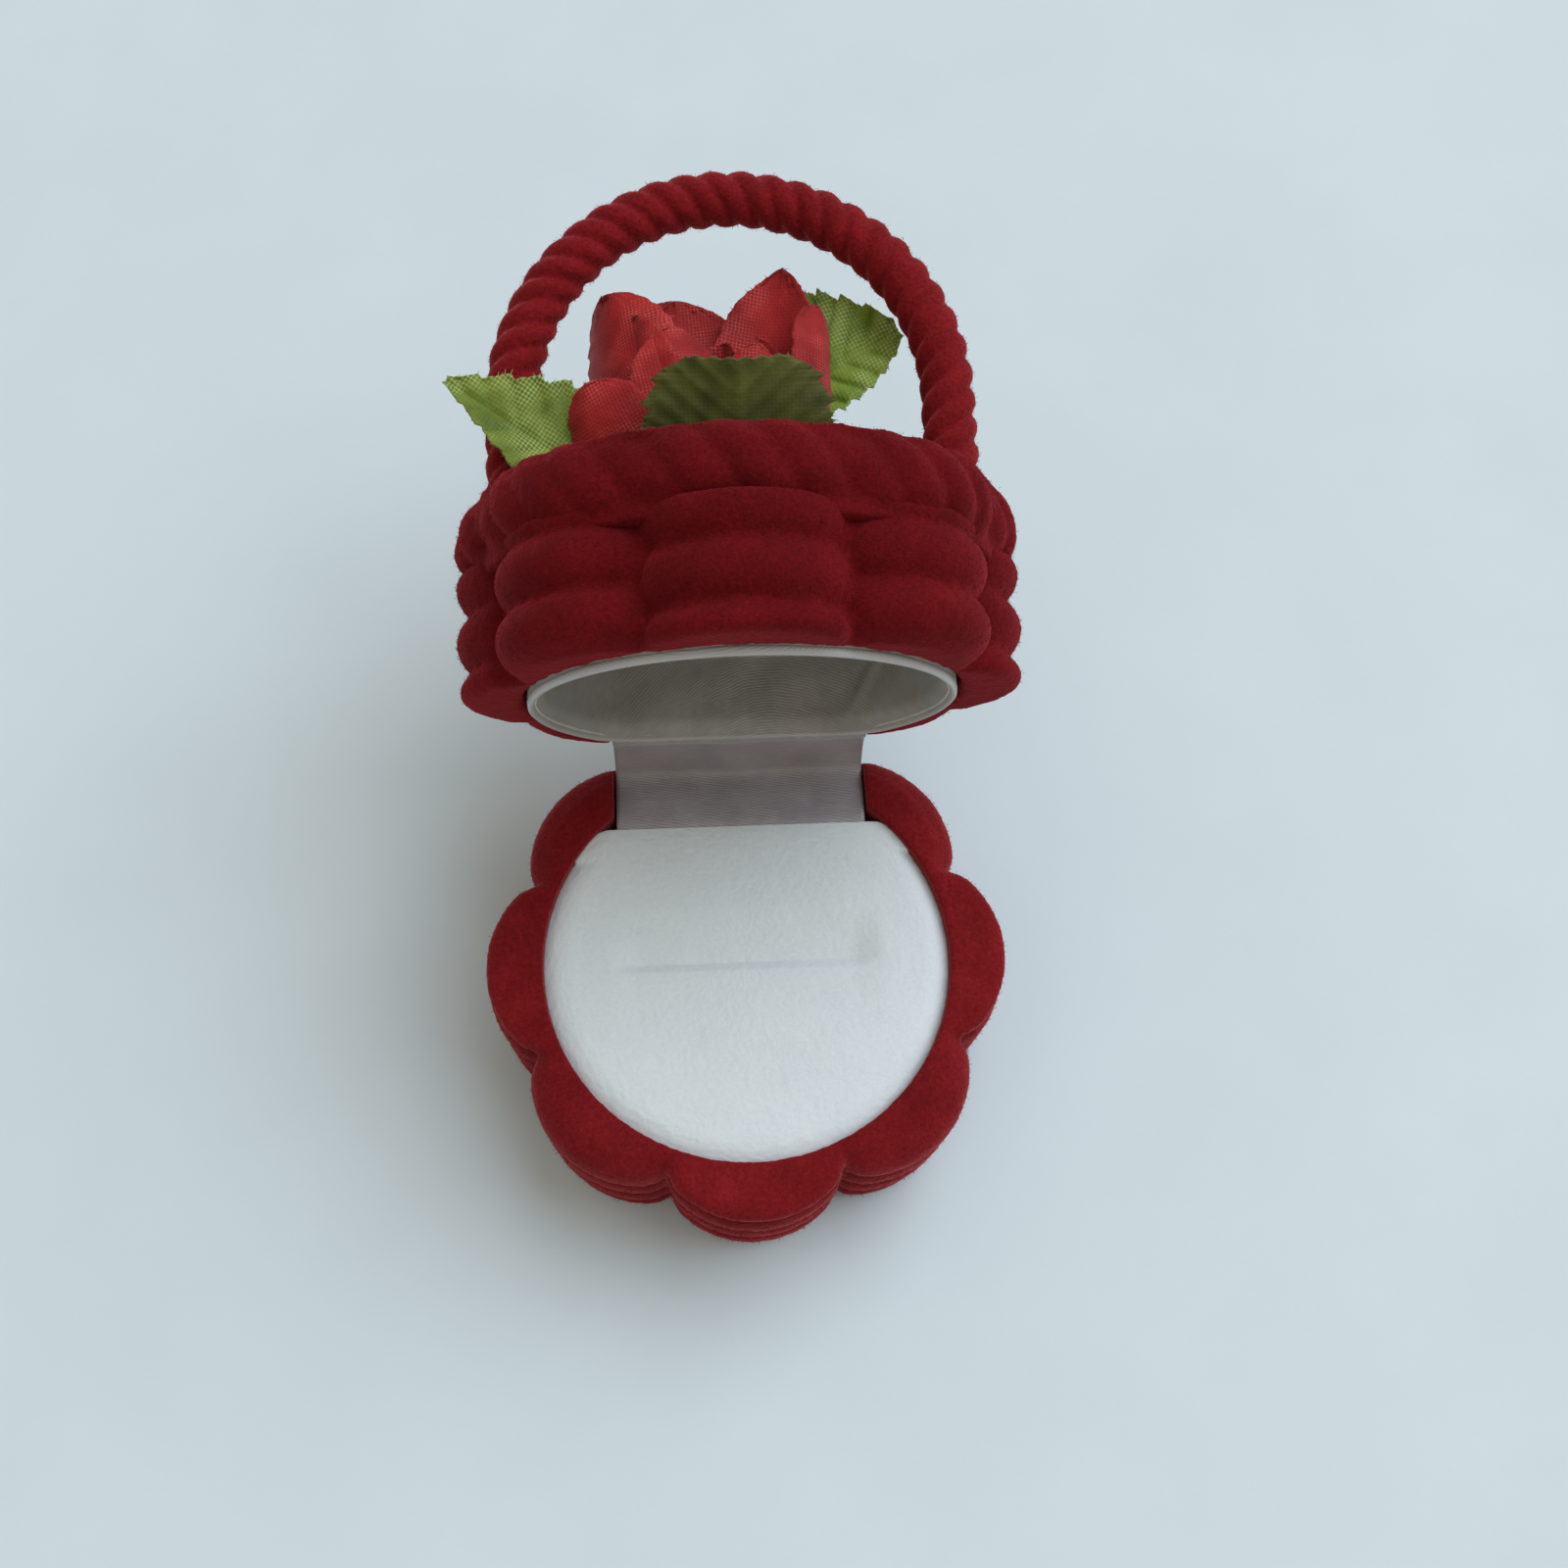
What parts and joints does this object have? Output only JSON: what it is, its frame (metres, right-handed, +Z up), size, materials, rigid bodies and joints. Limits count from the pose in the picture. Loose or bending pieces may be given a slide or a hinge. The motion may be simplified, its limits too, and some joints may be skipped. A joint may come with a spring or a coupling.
{
  "type": "ring box",
  "caption": "Basket-shaped flocked ring box, open: lobed woven-look base and lid on a snap hinge, flocked ring insert, satin liner, rope handle and fabric rose.",
  "frame": {"origin": "centre of the flat foot of the base, on the surface the box stands on", "axes": "+Z up, -Y the front where the lid opens, hinge along X at the back"},
  "size_m": [0.054, 0.0955, 0.0706],
  "materials": {
    "flocked_shell": "crimson velvet flocking on a moulded plastic shell",
    "foam": "soft white polyurethane foam",
    "white_flock": "white flocking on card",
    "spring_steel": "bright stamped steel",
    "satin_ribbon": "mauve-grey satin ribbon",
    "liner_card": "plain pale card",
    "satin": "silver-grey satin",
    "green_plastic": "dark green moulded plastic",
    "petal_fabric": "stiffened red woven fabric with frayed edges",
    "leaf_fabric": "stiffened yellow-green woven fabric with pressed veins"
  },
  "bodies": {
    "base": {"base_shell": "flocked_shell", "foam_block": "foam", "insert_card": "white_flock", "hinge_leaf_base": "spring_steel", "hinge_pin": "spring_steel", "snap_springs": "spring_steel", "ribbon_base": "satin_ribbon"},
    "lid": {"lid_shell": "flocked_shell", "braided_rim": "flocked_shell", "rope_handle": "flocked_shell", "liner_card": "liner_card", "satin_liner": "satin", "hinge_leaf_lid": "spring_steel", "ribbon_lid": "satin_ribbon", "rose_stem": "green_plastic", "rose_calyx": "green_plastic", "rose_outer_petals": "petal_fabric", "rose_middle_petals": "petal_fabric", "rose_inner_petals": "petal_fabric", "rose_bud": "petal_fabric", "leaf_left": "leaf_fabric", "leaf_front": "leaf_fabric", "leaf_right": "leaf_fabric"}
  },
  "joints": [
    {"name": "lid_hinge", "type": "hinge", "parent": "base", "child": "lid", "pos_m": [0, 0.0225, 0.02], "axis": [1, 0, 0], "range_deg": [0, 79]}
  ]
}
